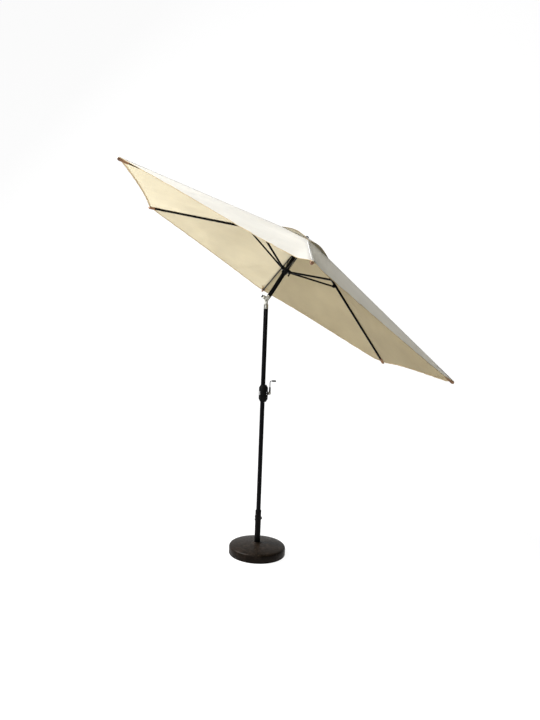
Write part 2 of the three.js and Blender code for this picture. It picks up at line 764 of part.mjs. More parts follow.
const head = new THREE.Group();
head.position.set(0, 0, PIVOT_HEIGHT);
head.rotation.y = TILT;
add(head, "tilt_knuckle", tiltKnuckle(), castSilver);
add(head, "tilt_button", tiltButton(), blackPlastic);
add(head, "button_spring", buttonSpring(), steel);
add(head, "upper_pole", upperPole(), blackPaint);
add(head, "crown_hub", crownHub(), blackPlastic);
add(head, "crown_ring", ring(RIB_HINGE.r, RING_WIRE, RIB_HINGE.z), steel);
add(head, "pulley", pulley(), blackPlastic);
add(head, "pulley_pin", pulleyPin(), steel);
add(head, "finial", finial(), blackPlastic);
add(head, "vent_cap", ventCap(), cloth);
add(head, "lift_cord_upper", tubeAlong([[-6.4, 0, 2], [-6.4, 0, 80], [-1.4, 0, PULLEY.z]], 1.2, 8, 3, 0), cordFibre);
const dropX = PULLEY.x + PULLEY.groove + 1.4;
add(
  head,
  "lift_cord_drop",
  tubeAlong([[dropX, 0, PULLEY.z], [18, 0, RUNNER_PIN.z + 2]], 1.2, 2, 3, 0),
  cordFibre,
);
add(head, "runner", runner(), blackPlastic);
add(head, "runner_ring", ring(RUNNER_PIN.r, RING_WIRE, RUNNER_PIN.z), steel);
umbrella.add(head);

azimuths().forEach((azimuth, i) => {
  const arm = new THREE.Group();
  arm.rotation.z = azimuth;
  add(arm, "rib_" + (i + 1), rib(), blackPaint);
  add(arm, "rib_cap_" + (i + 1), ribCap(), brownLeather);
  add(arm, "strut_" + (i + 1), strut(), blackPaint);
  add(arm, "canopy_section_" + (i + 1), canopySection(), cloth);
  head.add(arm);
});

export default umbrella;
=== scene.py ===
"""Patio umbrella with base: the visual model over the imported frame, lit as a plain studio shot."""
import math

import bmesh
import bpy
from mathutils import Matrix, Vector


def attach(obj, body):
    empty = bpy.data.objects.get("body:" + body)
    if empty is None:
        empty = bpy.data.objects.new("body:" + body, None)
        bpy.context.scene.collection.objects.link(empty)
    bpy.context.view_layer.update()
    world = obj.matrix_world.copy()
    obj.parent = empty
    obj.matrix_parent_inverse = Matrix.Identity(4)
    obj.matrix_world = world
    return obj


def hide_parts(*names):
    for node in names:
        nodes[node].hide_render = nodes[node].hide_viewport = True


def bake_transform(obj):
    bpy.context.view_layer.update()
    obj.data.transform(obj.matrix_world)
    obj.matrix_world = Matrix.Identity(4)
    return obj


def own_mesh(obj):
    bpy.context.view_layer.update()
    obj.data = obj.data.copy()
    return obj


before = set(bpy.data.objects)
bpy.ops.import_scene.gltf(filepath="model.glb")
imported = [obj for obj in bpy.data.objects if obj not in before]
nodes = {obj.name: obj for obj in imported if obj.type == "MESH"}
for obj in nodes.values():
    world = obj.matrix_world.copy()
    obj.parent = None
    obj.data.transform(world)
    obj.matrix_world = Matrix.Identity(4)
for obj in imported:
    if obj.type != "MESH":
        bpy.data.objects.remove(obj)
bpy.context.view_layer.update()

# ---- driving dimensions, in metres, as in the CAD ----
PIVOT = Vector((0, 0, 1.795))
TILT = math.radians(31)
RIB_COUNT = 6
RIB_TURN = math.radians(6)
HALF_ANGLE = math.pi / RIB_COUNT
SIDE_FALL = math.tan(HALF_ANGLE) * 0.27  # how fast the cloth falls away on each side of a rib
RIB_HINGE_R, RIB_HINGE_Z = 0.030, 0.505
RIB_TIP_R, RIB_TIP_Z = 1.348, 0.153
CLOTH_LIFT = 0.0108  # the cloth over the rib centreline
CLOTH_THICKNESS = 0.0008
POCKET_DROP = 0.0030  # the top of a corner pocket below the middle of the cloth
SCALLOP = 0.035
HEM_DROOP = 0.010
VENT_OPENING = 0.050
VENT_RADIUS = 0.220
VENT_APEX = 0.5278
VENT_EDGE = 0.4672
VENT_BULGE = 0.005
# how high each vent hem stands at its middle, anticlockwise from the hem between ribs 4 and 3
VENT_ARCHES = (0.016, 0.014, 0.012, 0.026, 0.024, 0.012)
# how far a hem hangs near its two corners: panel: (at its own rib, at the rib before it)
CORNER_HANG = {0: (0.000, 0.020), 3: (0.014, 0.000), 4: (0.012, 0.004), 5: (0.006, 0.010)}
BASE_RADIUS = 0.200
CRANK_HEIGHT = 1.141

HEAD = Matrix.Translation(PIVOT) @ Matrix.Rotation(TILT, 4, "Y")


# ---- node helpers ----
def new_material(name):
    material = bpy.data.materials.new(name)
    material.use_nodes = True
    tree = material.node_tree
    shader = tree.nodes["Principled BSDF"]
    return material, tree, shader


def node(tree, kind, **values):
    made = tree.nodes.new(kind)
    for key, value in values.items():
        if key in made.inputs:
            made.inputs[key].default_value = value
        else:
            setattr(made, key, value)
    return made


def object_coordinates(tree, scale=(1, 1, 1)):
    coordinates = node(tree, "ShaderNodeTexCoord")
    mapping = node(tree, "ShaderNodeMapping", Scale=scale)
    tree.links.new(coordinates.outputs["Object"], mapping.inputs["Vector"])
    return mapping.outputs["Vector"]


def noise(tree, vector, scale, detail=4.0, roughness=0.6):
    made = node(tree, "ShaderNodeTexNoise", Scale=scale, Detail=detail, Roughness=roughness)
    tree.links.new(vector, made.inputs["Vector"])
    return made.outputs["Fac"]


def ramp(tree, factor, stops):
    made = node(tree, "ShaderNodeValToRGB")
    elements = made.color_ramp.elements
    while len(elements) < len(stops):
        elements.new(0.5)
    for element, (place, color) in zip(elements, stops):
        element.position = place
        element.color = (*color, 1)
    tree.links.new(factor, made.inputs["Fac"])
    return made.outputs["Color"]


def grey(value):
    return (value, value, value)


def bump(tree, shader, height, strength, distance, under=None):
    made = node(tree, "ShaderNodeBump", Strength=strength, Distance=distance)
    tree.links.new(height, made.inputs["Height"])
    if under is not None:
        tree.links.new(under, made.inputs["Normal"])
    tree.links.new(made.outputs["Normal"], shader.inputs["Normal"])
    return made.outputs["Normal"]


# ---- materials ----
def powder_coat(name, dark, light, rough, grain=900.0):
    """Powder-coated metal: fine orange-peel grain, cloudy gloss and slight colour drift."""
    material, tree, shader = new_material(name)
    shader.inputs["Specular IOR Level"].default_value = 0.05
    place = object_coordinates(tree)
    clouds = noise(tree, place, 14.0)
    color = ramp(tree, clouds, [(0.35, dark), (0.7, light)])
    tree.links.new(color, shader.inputs["Base Color"])
    gloss = ramp(tree, noise(tree, place, 55.0), [(0.3, grey(rough - 0.05)), (0.75, grey(rough + 0.09))])
    tree.links.new(gloss, shader.inputs["Roughness"])
    bump(tree, shader, noise(tree, place, grain, 2.0), 0.25, 0.0002)
    return material


def brushed_metal(name, dark, light, rough, along=(40.0, 40.0, 900.0)):
    """Bare metal with drawn scratches and a faint stain."""
    material, tree, shader = new_material(name)
    streaks = noise(tree, object_coordinates(tree, along), 1.0, 3.0)
    color = ramp(tree, streaks, [(0.3, dark), (0.7, light)])
    tree.links.new(color, shader.inputs["Base Color"])
    gloss = ramp(tree, streaks, [(0.3, grey(rough)), (0.7, grey(rough + 0.14))])
    tree.links.new(gloss, shader.inputs["Roughness"])
    shader.inputs["Metallic"].default_value = 1.0
    bump(tree, shader, streaks, 0.2, 0.0001)
    return material


def moulded_plastic(name, dark, light, rough):
    """Injection-moulded plastic with a spark-eroded texture."""
    material, tree, shader = new_material(name)
    shader.inputs["Specular IOR Level"].default_value = 0.06
    place = object_coordinates(tree)
    color = ramp(tree, noise(tree, place, 30.0), [(0.35, dark), (0.7, light)])
    tree.links.new(color, shader.inputs["Base Color"])
    gloss = ramp(tree, noise(tree, place, 160.0), [(0.3, grey(rough - 0.06)), (0.7, grey(rough + 0.1))])
    tree.links.new(gloss, shader.inputs["Roughness"])
    bump(tree, shader, noise(tree, place, 1400.0, 1.0), 0.3, 0.00015)
    return material


def hammered_bronze():
    """The dark base: brown-black resin with a hand-rubbed bronze mottle and shallow dents."""
    material, tree, shader = new_material("hammered_bronze")
    place = object_coordinates(tree)
    mottle = noise(tree, place, 24.0, 8.0, 0.7)
    stops = [(0.30, (0.003, 0.002, 0.001)), (0.55, (0.009, 0.006, 0.004)), (0.80, (0.030, 0.020, 0.014))]
    tree.links.new(ramp(tree, mottle, stops), shader.inputs["Base Color"])
    gloss = ramp(tree, noise(tree, place, 60.0), [(0.3, grey(0.34)), (0.7, grey(0.52))])
    tree.links.new(gloss, shader.inputs["Roughness"])
    shader.inputs["Metallic"].default_value = 0.10
    shader.inputs["Specular IOR Level"].default_value = 0.05
    dents = node(tree, "ShaderNodeTexVoronoi", Scale=60.0)
    tree.links.new(place, dents.inputs["Vector"])
    first = bump(tree, shader, dents.outputs["Distance"], 0.25, 0.0012)
    bump(tree, shader, noise(tree, place, 500.0, 3.0), 0.2, 0.0004, first)
    return material


def leather(name, dark, light):
    """Pebbled brown leather with a patchy stain; the pebbles shape only the bump."""
    material, tree, shader = new_material(name)
    place = object_coordinates(tree)
    pebbles = node(tree, "ShaderNodeTexVoronoi", Scale=420.0)
    tree.links.new(place, pebbles.inputs["Vector"])
    stain = noise(tree, place, 38.0, 5.0)
    tree.links.new(ramp(tree, stain, [(0.3, dark), (0.72, light)]), shader.inputs["Base Color"])
    gloss = ramp(tree, stain, [(0.3, grey(0.5)), (0.7, grey(0.66))])
    tree.links.new(gloss, shader.inputs["Roughness"])
    bump(tree, shader, pebbles.outputs["Distance"], 0.5, 0.0006)
    return material


def weave_height(tree, place):
    """Plain weave, about 1.2 mm to a thread pair, as a height."""
    bands = []
    for direction in ("X", "Y"):
        threads = node(tree, "ShaderNodeTexWave", Scale=260.0, Distortion=1.2, Detail=1.0)
        threads.bands_direction = direction
        tree.links.new(place, threads.inputs["Vector"])
        bands.append(threads.outputs["Fac"])
    crossed = node(tree, "ShaderNodeMath", operation="MULTIPLY")
    tree.links.new(bands[0], crossed.inputs[0])
    tree.links.new(bands[1], crossed.inputs[1])
    return crossed.outputs["Value"]


def canopy_cloth(name, dark, light, through, share):
    """Woven polyester that light passes through, with slubs, faint soiling and a weave bump.
    through is the colour of the light that passes, and share is how much of the light does."""
    material, tree, shader = new_material(name)
    place = object_coordinates(tree)
    drift = noise(tree, place, 3.2, 6.0, 0.65)
    color = ramp(tree, drift, [(0.25, dark), (0.75, light)])
    slubs = noise(tree, place, 220.0, 2.0)
    threads = node(tree, "ShaderNodeMix", data_type="RGBA", blend_type="MULTIPLY")
    threads.inputs["Factor"].default_value = 0.12
    tree.links.new(color, threads.inputs[6])
    tree.links.new(ramp(tree, slubs, [(0.3, grey(0.72)), (0.7, grey(1.0))]), threads.inputs[7])
    tree.links.new(threads.outputs[2], shader.inputs["Base Color"])
    shader.inputs["Roughness"].default_value = 0.85
    shader.inputs["Sheen Weight"].default_value = 0.15
    shader.inputs["Sheen Roughness"].default_value = 0.5
    shader.inputs["Specular IOR Level"].default_value = 0.15
    normal = bump(tree, shader, weave_height(tree, place), 0.3, 0.0004)
    glow = node(tree, "ShaderNodeBsdfTranslucent")
    paler = tuple(min(1.0, value * 1.04) for value in through)
    deeper = tuple(value * 0.94 for value in through)
    tree.links.new(ramp(tree, drift, [(0.25, deeper), (0.75, paler)]), glow.inputs["Color"])
    tree.links.new(normal, glow.inputs["Normal"])
    mix = node(tree, "ShaderNodeMixShader", Fac=share)
    tree.links.new(shader.outputs["BSDF"], mix.inputs[1])
    tree.links.new(glow.outputs["BSDF"], mix.inputs[2])
    tree.links.new(mix.outputs["Shader"], tree.nodes["Material Output"].inputs["Surface"])
    return material


def sewing_thread():
    material, tree, shader = new_material("sewing_thread")
    twist = noise(tree, object_coordinates(tree), 900.0, 2.0)
    tree.links.new(
        ramp(tree, twist, [(0.3, (0.42, 0.38, 0.29)), (0.7, (0.62, 0.58, 0.47))]),
        shader.inputs["Base Color"],
    )
    shader.inputs["Roughness"].default_value = 0.8
    bump(tree, shader, twist, 0.4, 0.0003)
    return material


def braided_cord():
    """Dark polyester cord with a diagonal plait."""
    material, tree, shader = new_material("braided_cord")
    place = object_coordinates(tree)
    plait = node(tree, "ShaderNodeTexWave", Scale=160.0, Distortion=2.0, Detail=1.0)
    plait.bands_direction = "DIAGONAL"
    tree.links.new(place, plait.inputs["Vector"])
    color = ramp(tree, plait.outputs["Fac"], [(0.3, (0.006, 0.006, 0.006)), (0.7, (0.022, 0.022, 0.021))])
    tree.links.new(color, shader.inputs["Base Color"])
    shader.inputs["Roughness"].default_value = 0.75
    bump(tree, shader, plait.outputs["Fac"], 0.5, 0.0003)
    return material


def concrete():
    material, tree, shader = new_material("concrete")
    grit = noise(tree, object_coordinates(tree), 120.0, 8.0, 0.7)
    tree.links.new(ramp(tree, grit, [(0.3, grey(0.22)), (0.7, grey(0.36))]), shader.inputs["Base Color"])
    shader.inputs["Roughness"].default_value = 0.95
    bump(tree, shader, grit, 0.5, 0.001)
    return material


BLACK = powder_coat("black_powder_coat", (0.0015, 0.0015, 0.0018), (0.004, 0.004, 0.005), 0.30)
TUBE_PAINT = powder_coat("tube_powder_coat", (0.0015, 0.0014, 0.0013), (0.005, 0.004, 0.004), 0.30)
BRONZE = hammered_bronze()
SILVER = brushed_metal("cast_silver", (0.22, 0.22, 0.20), (0.40, 0.40, 0.37), 0.30)
STEEL = brushed_metal("drawn_steel", (0.07, 0.07, 0.07), (0.14, 0.14, 0.14), 0.26)
PLASTIC = moulded_plastic("black_plastic", (0.0015, 0.0015, 0.0015), (0.005, 0.005, 0.005), 0.36)
GRIP = moulded_plastic("grip_plastic", (0.055, 0.055, 0.055), (0.09, 0.09, 0.09), 0.42)
LEATHER = leather("corner_leather", (0.10, 0.042, 0.018), (0.30, 0.15, 0.062))
CLOTH_TOP = canopy_cloth("cloth_top", (0.70, 0.71, 0.70), (0.77, 0.78, 0.77), (0.92, 0.91, 0.89), 0.48)
# the underside cloth is a darker, yellower copy of the top cloth: painted shade and painted light passing
# through, not a second fabric
CLOTH_UNDER_PAINTED_SHADE = canopy_cloth("cloth_under_painted_shade", (0.36, 0.25, 0.10), (0.46, 0.34, 0.15), (0.90, 0.87, 0.72), 0.52)
# the hem cloth is a brown, darker copy of the canopy cloth: painted shade, not a different fabric
HEM_CLOTH_PAINTED_SHADE = canopy_cloth("hem_cloth_painted_shade", (0.50, 0.38, 0.20), (0.62, 0.49, 0.28), (0.72, 0.56, 0.34), 0.25)
THREAD = sewing_thread()
CORD = braided_cord()
CONCRETE = concrete()


# ---- mesh helpers ----
def mesh_object(name, points, faces, material, smooth=True):
    mesh = bpy.data.meshes.new(name)
    mesh.from_pydata([tuple(p) for p in points], [], faces)
    mesh.update()
    made = bpy.data.objects.new(name, mesh)
    bpy.context.scene.collection.objects.link(made)
    made.data.materials.append(material)
    if smooth:
        mesh.shade_smooth()
    return made


def face_outwards(made):
    work = bmesh.new()
    work.from_mesh(made.data)
    bmesh.ops.remove_doubles(work, verts=work.verts, dist=1e-6)
    bmesh.ops.recalc_face_normals(work, faces=work.faces)
    work.to_mesh(made.data)
    work.free()
    return made


def place_in(made, matrix):
    made.data.transform(matrix)
    return made


def sharpen(made, degrees=32):
    made.data.shade_smooth()
    made.data.set_sharp_from_angle(angle=math.radians(degrees))


def lathe(name, profile, material, sides=96):
    """A closed or axis-to-axis profile of (radius, height) turned about Z."""
    points, faces = [], []
    count = len(profile)
    for i in range(sides):
        turn = 2 * math.pi * i / sides
        for radius, height in profile:
            points.append((radius * math.cos(turn), radius * math.sin(turn), height))
    for i in range(sides):
        for j in range(count - 1):
            a, b = i * count + j, ((i + 1) % sides) * count + j
            faces.append((a, b, b + 1, a + 1))
    made = mesh_object(name, points, faces, material)
    face_outwards(made)
    sharpen(made, 40)
    return made


def tube(name, path, radius, material, sides=12):
    """A round wire along points, with a rounded section at each."""
    points, faces = [], []
    count = len(path)
    for i, here in enumerate(path):
        before = path[i - 1] if i > 0 else here
        after = path[i + 1] if i < count - 1 else here
        along = (Vector(after) - Vector(before)).normalized()
        side = along.cross(Vector((0.31, 0.17, 0.93))).normalized()
        up = side.cross(along)
        for j in range(sides):
            turn = 2 * math.pi * j / sides
            points.append(Vector(here) + side * (radius * math.cos(turn)) + up * (radius * math.sin(turn)))
    for i in range(count - 1):
        for j in range(sides):
            a, b = i * sides + j, (i + 1) * sides + j
            c, d = (i + 1) * sides + (j + 1) % sides, i * sides + (j + 1) % sides
            faces.append((a, b, c, d))
    faces.append(tuple(range(sides)))
    faces.append(tuple((count - 1) * sides + j for j in range(sides)))
    made = mesh_object(name, points, faces, material)
    return face_outwards(made)


def bevelled(made, width, segments=3, angle=35):
    modifier = made.modifiers.new("bevel", "BEVEL")
    modifier.width = width
    modifier.segments = segments
    modifier.limit_method = "ANGLE"
    modifier.angle_limit = math.radians(angle)
    modifier.harden_normals = False
    return made


# ---- the CAD nodes that stay ----
def dress_cad_nodes():
    """Gives each CAD node its material and smooths its facets, and rounds the edges of the crank housing,
    runner, crown hub, tilt fork and knuckle and clamp knob.
    """
    finishes = {
        "base_plate": PLASTIC, "base_weight": CONCRETE, "base_tube": TUBE_PAINT,
        "tube_bushing": PLASTIC, "clamp_screw": STEEL, "clamp_knob": PLASTIC,
        "lower_pole": BLACK, "middle_pole": BLACK, "upper_pole": BLACK,
        "crank_housing_front": PLASTIC, "crank_housing_rear": PLASTIC,
        "housing_screw_1": STEEL, "housing_screw_2": STEEL, "crank_bearing": PLASTIC,
        "brake_spring": STEEL, "crank_shaft": STEEL, "cord_spool": PLASTIC,
        "tilt_fork": SILVER, "tilt_knuckle": SILVER, "tilt_pin": STEEL,
        "tilt_button": PLASTIC, "crown_hub": PLASTIC,
        "crown_ring": STEEL, "pulley": PLASTIC, "pulley_pin": STEEL,
        "runner": PLASTIC, "runner_ring": STEEL,
        "lift_cord_lower": CORD, "lift_cord_upper": CORD,
    }
    for i in range(1, RIB_COUNT + 1):
        finishes[f"rib_{i}"] = BLACK
        finishes[f"strut_{i}"] = BLACK
    round_over = {
        "crank_housing_front": 0.0022, "crank_housing_rear": 0.0022, "runner": 0.0012,
        "crown_hub": 0.001, "tilt_fork": 0.0008, "tilt_knuckle": 0.0008, "clamp_knob": 0.001,
    }
    for name, material in finishes.items():
        made = nodes[name]
        for slot in made.material_slots:
            slot.material = material
        made.data.shade_smooth()
        weld = made.modifiers.new("weld", "WELD")
        weld.merge_threshold = 0.00001
        if name in round_over:
            bevelled(made, round_over[name], 2, 40)
        edges = made.modifiers.new("edges", "EDGE_SPLIT")
        edges.split_angle = math.radians(34)


# ---- the base ----
def base_shell():
    profile = [
        (BASE_RADIUS - 0.003, 0.0), (BASE_RADIUS - 0.0012, 0.0), (BASE_RADIUS, 0.0014),
        (BASE_RADIUS, 0.006), (BASE_RADIUS - 0.0015, 0.008), (BASE_RADIUS, 0.010),
        (BASE_RADIUS, 0.044), (BASE_RADIUS - 0.0012, 0.049), (BASE_RADIUS - 0.0042, 0.0535),
        (BASE_RADIUS - 0.009, 0.0568), (BASE_RADIUS - 0.016, 0.0592),
        (BASE_RADIUS - 0.045, 0.0652), (BASE_RADIUS - 0.085, 0.0708), (0.070, 0.0748),
        (0.040, 0.0766), (0.0335, 0.0768), (0.0318, 0.0790), (0.0290, 0.0800),
        (0.0240, 0.0802), (0.0218, 0.0795), (0.0214, 0.0780), (0.0214, 0.0750),
    ]
    shell = lathe("base_shell_detail", profile, BRONZE, 160)
    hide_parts("base_shell")
    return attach(shell, "base")


# ---- the canopy ----
def rib_line(radius):
    share = (radius - RIB_HINGE_R) / (RIB_TIP_R - RIB_HINGE_R)
    return RIB_HINGE_Z + share * (RIB_TIP_Z - RIB_HINGE_Z)


def smooth_step(value):
    value = min(max(value, 0.0), 1.0)
    return value * value * (3 - 2 * value)


def corner_hang(panel, place):
    """How far the cloth hangs near the corners of a hem; place runs from 0 to 1 along it."""
    total = 0.0
    for amount, distance in zip(CORNER_HANG.get(panel, (0.004, 0.004)), (place, 1 - place)):
        total += amount * smooth_step(distance / 0.07) * (1 - smooth_step((distance - 0.10) / 0.7))
    return total


def cloth_height(along, across, out, nearness, panel, place):
    """Height of a panel: flat along the ribs, slack between them, and drooping at the hem."""
    height = rib_line(along / math.cos(HALF_ANGLE)) + CLOTH_LIFT
    slack = math.cos(nearness * math.pi / 2) ** 2
    height -= 0.009 * slack * math.sin(math.pi * min(out, 1.0)) ** 2
    height -= HEM_DROOP * (1 - nearness ** 2) * out ** 2
    height -= corner_hang(panel, place) * out ** 4
    folds = math.sin(nearness * math.pi) ** 2
    ripple = math.sin(across * 46.0 + along * 7.0 + 1.7 * panel) + 0.5 * math.sin(across * 91.0 + 2.1 * panel)
    pull = math.sin(nearness * 17.0 + out * 2.0) * (1 - smooth_step((1.0 - nearness) / 0.35))
    height += 0.0011 * ripple * folds * smooth_step((out - 0.4) / 0.6)
    height += 0.0009 * pull * folds * smooth_step((out - 0.75) / 0.25)
    return height


def panel_point(index, side, nearness, out, lift=0.0, shrink=0.0):
    """A point of a half panel in its rib's own frame. nearness is 1 at the rib and 0 on the middle
    line; out runs from the vent opening to the hem; shrink draws the hem in, in metres."""
    panel = index if side > 0 else (index + 1) % RIB_COUNT
    place = (1 - nearness) / 2 if side > 0 else (1 + nearness) / 2
    tip_along = RIB_TIP_R * math.cos(HALF_ANGLE)
    tip_across = RIB_TIP_R * math.sin(HALF_ANGLE)
    hem_along = tip_along - SCALLOP * (1 - nearness ** 2) - shrink
    start_along = VENT_OPENING * math.cos(HALF_ANGLE)
    start_across = VENT_OPENING * math.sin(HALF_ANGLE) * nearness
    along = start_along + (hem_along - start_along) * out
    across = start_across + (tip_across * nearness - start_across) * out
    height = cloth_height(along, across, out, nearness, panel, place) + lift
    x = along * math.cos(HALF_ANGLE) + across * math.sin(HALF_ANGLE)
    y = along * math.sin(HALF_ANGLE) - across * math.cos(HALF_ANGLE)
    return Vector((x, side * y, height))


def section_point(index, j, spans, out, lift=0.0, shrink=0.0):
    """The same over both half panels: j runs from 0 on one middle line to 2 * spans on the other."""
    offset = j - spans
    side = -1 if offset < 0 else 1
    point = panel_point(index, side, 1 - abs(offset) / spans, out, lift, shrink)
    if offset == 0:
        point.y = 0.0
    return point


def rib_matrix(index):
    return HEAD @ Matrix.Rotation(RIB_TURN + math.radians(210 - 60 * index), 4, "Z")


def fold_with_rib(made, index):
    """The piece is hung on its rib's body, so that it goes down with the rib, and gets its own mesh."""
    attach(made, f"rib_{index + 1}")
    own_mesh(made)


def two_sided_cloth(name, top, under, wraps):
    """A closed thin sheet from two grids of points: the upper face and the underside, joined round
    their edges. The underside and the rim get the darker, yellower underside cloth, which is painted
    shade and painted light passing through. wraps joins the last column of each row to its first."""
    rows, columns = len(top), len(top[0])
    points = [p for row in top for p in row] + [p for row in under for p in row]
    layer = rows * columns
    spans = columns if wraps else columns - 1
    faces, face_materials = [], []
    for i in range(rows - 1):
        for j in range(spans):
            a, b = i * columns + j, i * columns + (j + 1) % columns
            faces.append((a, a + columns, b + columns, b))
            face_materials.append(0)
            faces.append((layer + a, layer + b, layer + b + columns, layer + a + columns))
            face_materials.append(1)
    rim = [(j, (j + 1) % columns) for j in range(spans)]
    last = (rows - 1) * columns
    edges = [(a, b) for a, b in rim] + [(last + b, last + a) for a, b in rim]
    if not wraps:
        for i in range(rows - 1):
            edges.append(((i + 1) * columns, i * columns))
            edges.append((i * columns + columns - 1, (i + 2) * columns - 1))
    for a, b in edges:
        faces.append((a, b, layer + b, layer + a))
        face_materials.append(1)
    made = mesh_object(name, points, faces, CLOTH_TOP)
    made.data.materials.append(CLOTH_UNDER_PAINTED_SHADE)
    made.data.polygons.foreach_set("material_index", face_materials)
    sharpen(made, 60)
    return made


def canopy_section(index, rows=44, spans=18):
    layers = []
    for lift in (CLOTH_THICKNESS / 2, -CLOTH_THICKNESS / 2):
        grid = []
        for i in range(rows + 1):
            grid.append([section_point(index, j, spans, i / rows, lift) for j in range(2 * spans + 1)])
        layers.append(grid)
    made = two_sided_cloth(f"canopy_cloth_{index + 1}", *layers, False)
    return place_in(made, rib_matrix(index))


def strip(name, rows, thickness, material, index):
    """A thin closed band over rows of points, each row running across the band."""
    points, faces = [], []
    wide = len(rows[0])
    for lift in (0.0, thickness):
        for row in rows:
            points.extend(p + Vector((0, 0, lift)) for p in row)
    layer = len(rows) * wide
    for i in range(len(rows) - 1):
        for j in range(wide - 1):
            a = i * wide + j
            faces.append((a, a + 1, a + wide + 1, a + wide))
            faces.append((layer + a, layer + a + wide, layer + a + wide + 1, layer + a + 1))
        for j, flip in ((0, False), (wide - 1, True)):
            a = i * wide + j
            quad = (a, a + wide, layer + a + wide, layer + a)
            faces.append(quad[::-1] if flip else quad)
    made = mesh_object(name, points, faces, material)
    place_in(made, rib_matrix(index))
    face_outwards(made)
    sharpen(made, 50)
    return made


def hem(index, spans=30, width=0.012):
    """The turned hem: a doubled band under the edge of the cloth, with two rows of stitching. Its brown hem
    cloth is a darker copy of the canopy cloth, painted shade.
    """
    rows = []
    for j in range(2 * spans + 1):
        row = []
        for step in range(4):
            shrink = width * (3 - step) / 3
            row.append(section_point(index, j, spans, 1.0, -0.0013, shrink))
        rows.append(row)
    return strip(f"canopy_hem_{index + 1}", rows, 0.0022, HEM_CLOTH_PAINTED_SHADE, index)


def rib_seam(index, rows=60):
    """The lapped seam that runs over the rib, from the vent to the corner."""
    made_rows = []
    for i in range(rows + 1):
        out = 0.01 + 0.985 * i / rows
        centre = section_point(index, 18, 18, out)
        row = []
        for offset in (-0.0075, -0.0068, -0.003, 0.003, 0.0068, 0.0075):
            drop = abs(offset) * SIDE_FALL
            edge = 0.0004 if abs(offset) > 0.007 else 0.0
            row.append(centre + Vector((0, offset, -drop - edge + 0.0003)))
        made_rows.append(row)
    return strip(f"canopy_seam_{index + 1}", made_rows, 0.0009, CLOTH_TOP, index)


def stitches(name, path, index, pitch=0.006, length=0.0042):
    """Short separate stitches that lie along a path of points."""
    points, faces = [], []
    travelled, due = 0.0, 0.0
    for here, there in zip(path, path[1:]):
        gap = (there - here).length
        along = (there - here).normalized()
        side = along.cross(Vector((0, 0, 1))).normalized() * 0.00045
        up = Vector((0, 0, 0.0005))
        while due < travelled + gap:
            start = here + along * (due - travelled)
            end = start + along * length
            first = len(points)
            for p in (start, end):
                points.extend([p - side, p + up, p + side, p - up])
            for k in range(4):
                a, b = first + k, first + (k + 1) % 4
                faces.append((a, b, b + 4, a + 4))
            faces.append((first + 3, first + 2, first + 1, first))
            faces.append((first + 4, first + 5, first + 6, first + 7))
            due += pitch
        travelled += gap
    made = mesh_object(name, points, faces, THREAD, smooth=False)
    place_in(made, rib_matrix(index))
    return face_outwards(made)


def hem_stitches(index, inset, label, lift):
    path = [section_point(index, j, 40, 1.0, lift, inset) for j in range(1, 80)]
    return stitches(f"hem_stitch_{label}_{index + 1}", path, index)


def seam_stitches(index, offset, label):
    path = []
    for i in range(91):
        centre = section_point(index, 18, 18, 0.02 + 0.95 * i / 90)
        path.append(centre + Vector((0, offset, 0.0014 - abs(offset) * 0.15)))
    return stitches(f"seam_stitch_{label}_{index + 1}", path, index)


def under_corner(radius, across, drop):
    """A point just below the cloth near a corner, in the rib's own frame."""
    height = rib_line(min(radius, RIB_TIP_R)) + CLOTH_LIFT - abs(across) * SIDE_FALL
    return Vector((radius, across, height - drop))


def pocket_outline(radius, width, depth, lip):
    """One cross-section of a corner pocket: flat under the cloth, bulging round the rib."""
    upper = [under_corner(radius, width * (1 - k / 6), POCKET_DROP) for k in range(13)]
    lower = []
    for k in range(12, -1, -1):
        across = width * (1 - k / 6)
        bulge = depth * math.exp(-((across / 0.0085) ** 4))
        lower.append(under_corner(radius, across, POCKET_DROP + lip + bulge))
    return upper + lower


def corner_patch(index):
    """The triangle of hem cloth sewn on under a corner, which the leather pocket sits on. The hem cloth's
    brown is painted shade.
    """
    tip_across = RIB_TIP_R * math.sin(HALF_ANGLE)
    rows = []
    for i in range(13):
        out = 1 - 0.080 * i / 12
        half = 0.004 + (1 - out) * RIB_TIP_R * 0.42
        row = []
        for k in range(11):
            offset = half * (1 - k / 5)
            side = 1 if offset > 0 else -1
            row.append(panel_point(index, side, 1 - abs(offset) / (tip_across * out), out, -0.0017))
        rows.append(row)
    return strip(f"corner_patch_{index + 1}", rows, 0.0007, HEM_CLOTH_PAINTED_SHADE, index)


